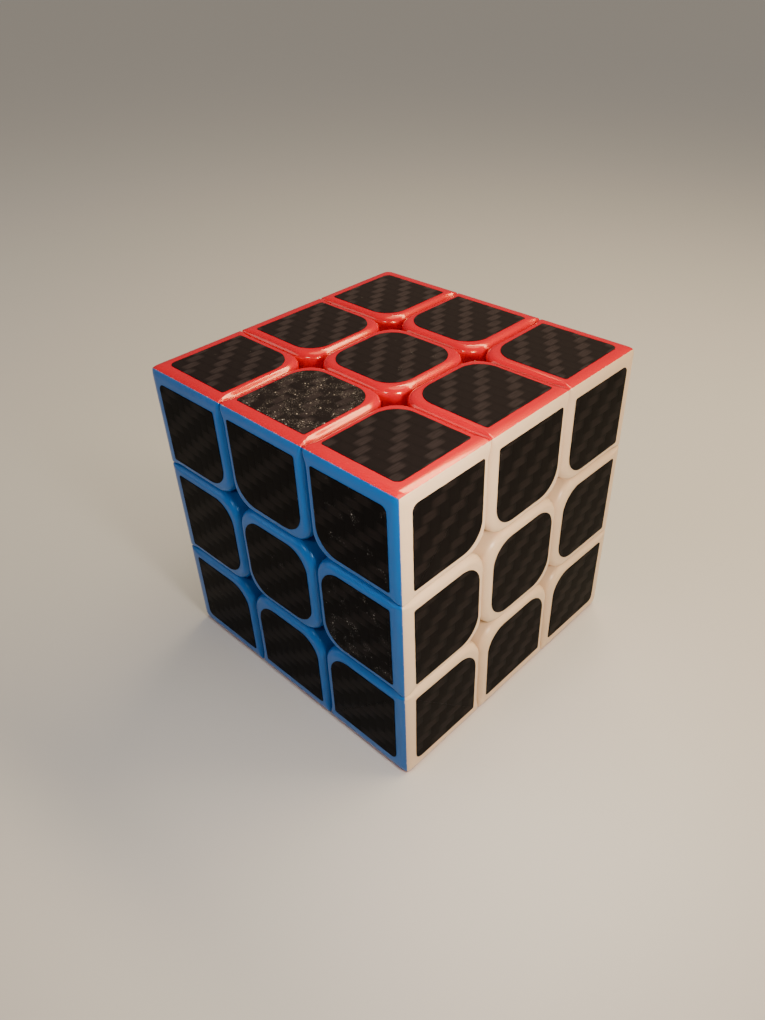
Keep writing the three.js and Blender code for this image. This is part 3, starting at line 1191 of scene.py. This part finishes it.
def thread_rings():
    """The screw's shank, with a thread on its lower part."""
    rings = []
    steps = round((THREAD_TOP - THREAD_BOTTOM) / THREAD_PITCH * THREAD_STEPS)
    for step in range(steps + 1):
        bottom = THREAD_BOTTOM + THREAD_PITCH / THREAD_STEPS * step
        fade = min(1.0, step / THREAD_STEPS, (steps - step) / THREAD_STEPS)

        def point(angle, z=bottom, depth=THREAD_DEPTH * fade, start=step == 0):
            turns = (z / THREAD_PITCH - angle / (2 * math.pi)) % 1
            radius = (SHANK_TIP if start else SHANK) - depth * (1 - abs(2 * turns - 1))
            return (radius * math.cos(angle), radius * math.sin(angle), z)

        rings.append(point)
    rings.append(circle(SHANK, SHANK_TOP))
    return rings


def coil_rings():
    """The wire of the spring, ring by ring along its line."""
    low, high = SPRING_BOTTOM + WIRE, SPRING_TOP - WIRE
    rise = (high - low) / (2 * math.pi * COIL_TURNS)
    steps = COIL_TURNS * 36
    rings = []
    for step in range(steps + 1):
        turn = 2 * math.pi * COIL_TURNS * step / steps
        z = low + (high - low) * step / steps
        out = Vector((math.cos(turn), math.sin(turn), 0))
        middle = out * COIL + Vector((0, 0, z))
        ahead = Vector((-math.sin(turn) * COIL, math.cos(turn) * COIL, rise))
        up = out.cross(ahead.normalized())

        def point(angle, middle=middle, out=out, up=up):
            return middle + (out * math.cos(angle) - up * math.sin(angle)) * WIRE

        rings.append(point)
    return rings


HUB_RADIUS = 8
ARM_RADIUS = 4.5
ARM_BOTTOM = 6.5
ARM_TOP = 12.0
ARM_HOLE = 1.7


def make_core():
    """The hub and its six drilled arms."""
    bm = bmesh.new()
    centre = Matrix.Translation(MIDDLE)
    bmesh.ops.create_icosphere(bm, subdivisions=5, radius=HUB_RADIUS * MM, matrix=centre)
    arm = [
        circle(ARM_HOLE, ARM_BOTTOM),
        circle(ARM_RADIUS, ARM_BOTTOM),
        circle(ARM_RADIUS, ARM_TOP - 0.4),
        circle(ARM_RADIUS - 0.4, ARM_TOP),
        circle(ARM_HOLE + 0.3, ARM_TOP),
        circle(ARM_HOLE, ARM_TOP - 0.3),
    ]
    for face in AXES:
        turned(arm, lambda p, face=face: on_face(face, p), True, RING, bm)
    add_inner("core_piece", bm, CORE, "core")


for face_name in AXES:
    for column in (-1, 0, 1):
        for line in (-1, 0, 1):
            make_cell(face_name, column, line)
    make_centre_inside(face_name)

for across in ("top", "bottom"):
    for facing in ("front", "back"):
        for side in ("left", "right"):
            make_corner_inside([across, facing, side])

for firsts, seconds in (
    (("top", "bottom"), ("front", "back")),
    (("top", "bottom"), ("left", "right")),
    (("front", "back"), ("left", "right")),
):
    for first_name in firsts:
        for second_name in seconds:
            make_edge_inside([first_name, second_name])

make_core()


# --- Floor, light and camera ----------------------------------------------------------------

FLOOR_HALF = 2.0  # metres
FLOOR_CLEARANCE = 0.02 * MM  # keeps the floor clear of the lowest stickers


def make_floor():
    shader = Shader("pale_floor")
    tone = shader.noise(shader.place_mm(), 0.05, 3.0, 0.6)
    tone = shader.math("MULTIPLY", tone, 0.2)
    shader.set(base_color=shader.mix(tone, (0.56, 0.57, 0.58), (0.52, 0.53, 0.54)))
    shader.constant("Roughness", 0.75)
    bm = bmesh.new()
    bmesh.ops.create_grid(bm, x_segments=8, y_segments=8, size=FLOOR_HALF)
    floor = add_object("floor", finished_mesh("floor", bm))
    floor.data.materials.append(shader.material)
    floor.location.z = cad_low.z - FLOOR_CLEARANCE


def add_light(name, kind, power, colour):
    data = bpy.data.lights.new(name, kind)
    data.energy = power
    data.color = colour
    return add_object(name, data)


def soft_light(name, place, width, height, power, colour, roll=0.0):
    """A soft panel at a place in millimetres from the cube's middle, facing the cube, turned by
    roll from upright."""
    light = add_light(name, "AREA", power, colour)
    light.data.shape = "RECTANGLE"
    light.data.size = width * MM
    light.data.size_y = height * MM
    light.location = MIDDLE + Vector(place) * MM
    facing = (MIDDLE - light.location).to_track_quat("-Z", "Y")
    light.rotation_euler = (facing @ Matrix.Rotation(roll, 3, "Z").to_quaternion()).to_euler()


FAR_LIGHT_SPREAD = math.radians(40)


def far_light(name, side, power, colour):
    """A broad light far off on the given side, which falls evenly on the whole floor."""
    light = add_light(name, "SUN", power, colour)
    light.data.angle = FAR_LIGHT_SPREAD
    light.rotation_euler = Vector(side).to_track_quat("Z", "Y").to_euler()


def make_lights():
    world = bpy.data.worlds.new("studio")
    bpy.context.scene.world = world
    world.use_nodes = True
    background = world.node_tree.nodes["Background"]
    background.inputs["Color"].default_value = (0.93, 0.96, 1.0, 1.0)
    background.inputs["Strength"].default_value = 0.12
    soft_light("near_right", (70, -34, 46), 16, 16, 0.066, (1.0, 0.84, 0.70))
    soft_light("near_front", (20, -75, 60), 16, 16, 0.015, (1.0, 0.92, 0.84))
    soft_light("arch", (50, 138, 220), 340, 42, 0.98, (1.0, 0.74, 0.42), math.radians(22))
    soft_light("right", (230, 150, 70), 60, 150, 0.20, (1.0, 0.74, 0.50))
    soft_light("left", (-305, -295, 150), 240, 290, 0.34, (0.88, 0.94, 1.0))
    far_light("overhead", (20, 30, 200), 1.2, (1.0, 0.82, 0.60))


CAMERA_SIDE = math.radians(45.83)  # round from the front towards the right
CAMERA_HEIGHT = math.radians(36.61)
CAMERA_DISTANCE = 148.7
CAMERA_AIM = Vector((-1.85, -1.90, -2.90))  # millimetres from the middle of the cube
CAMERA_ROLL = math.radians(-2.59)
CAMERA_LENS = 28.55


def make_camera():
    data = bpy.data.cameras.new("camera")
    data.lens = CAMERA_LENS
    data.clip_start = 0.01
    camera = add_object("camera", data)
    back = Vector((
        math.sin(CAMERA_SIDE) * math.cos(CAMERA_HEIGHT),
        -math.cos(CAMERA_SIDE) * math.cos(CAMERA_HEIGHT),
        math.sin(CAMERA_HEIGHT),
    ))
    turn = back.to_track_quat("Z", "Y") @ Matrix.Rotation(CAMERA_ROLL, 3, "Z").to_quaternion()
    camera.rotation_euler = turn.to_euler()
    camera.location = MIDDLE + (CAMERA_AIM + back * CAMERA_DISTANCE) * MM
    bpy.context.scene.camera = camera


make_floor()
make_lights()
make_camera()
